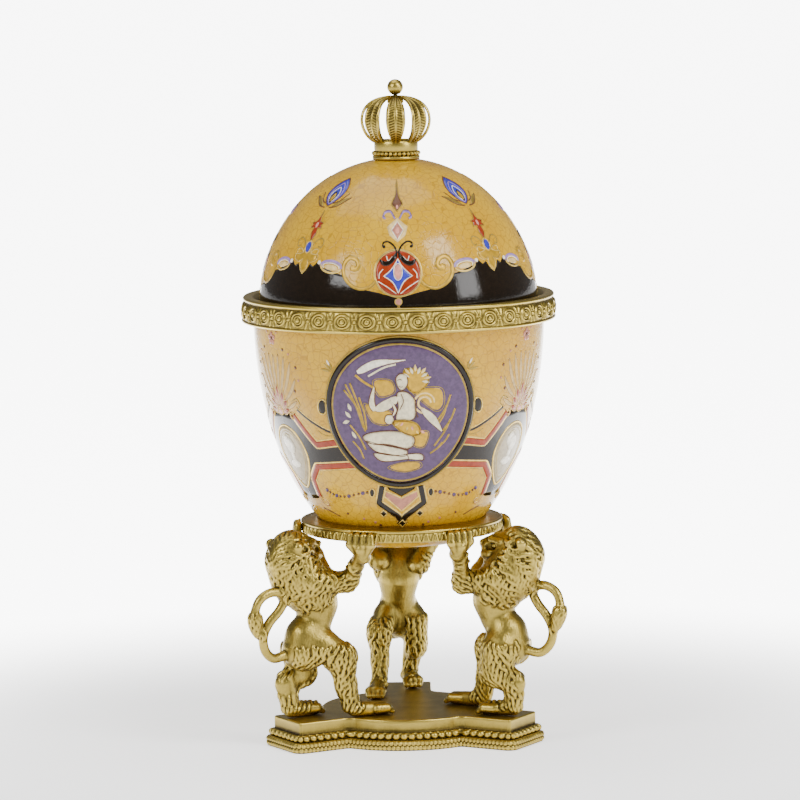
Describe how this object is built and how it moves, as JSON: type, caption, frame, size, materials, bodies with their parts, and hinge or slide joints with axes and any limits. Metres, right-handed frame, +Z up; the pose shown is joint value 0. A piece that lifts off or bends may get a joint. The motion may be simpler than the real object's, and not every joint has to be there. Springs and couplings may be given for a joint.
{
  "type": "egg trinket box",
  "caption": "Egg-shaped ceramic trinket box with a lift-off domed lid and a crown finial, in brass mounts, held up by rampant lions on a lobed plinth.",
  "frame": {"origin": "on the box's axis, at the plinth's underside", "axes": "+Z up along the egg's axis; the front medallion faces -Y; one lion stands at the back, on +Y"},
  "size_m": [0.1441, 0.1529, 0.3],
  "materials": {
    "brass": "aged cast brass, satin, dark in its hollows",
    "crackle_glaze": "glossy crackle-glazed ceramic, painted"
  },
  "bodies": {
    "root": {"plinth": "brass", "lion_back": "brass", "lion_front_left": "brass", "lion_front_right": "brass", "support_ring": "brass", "rim_band": "brass", "crown_finial": "brass", "bowl": "crackle_glaze", "lid": "crackle_glaze"}
  },
  "joints": []
}
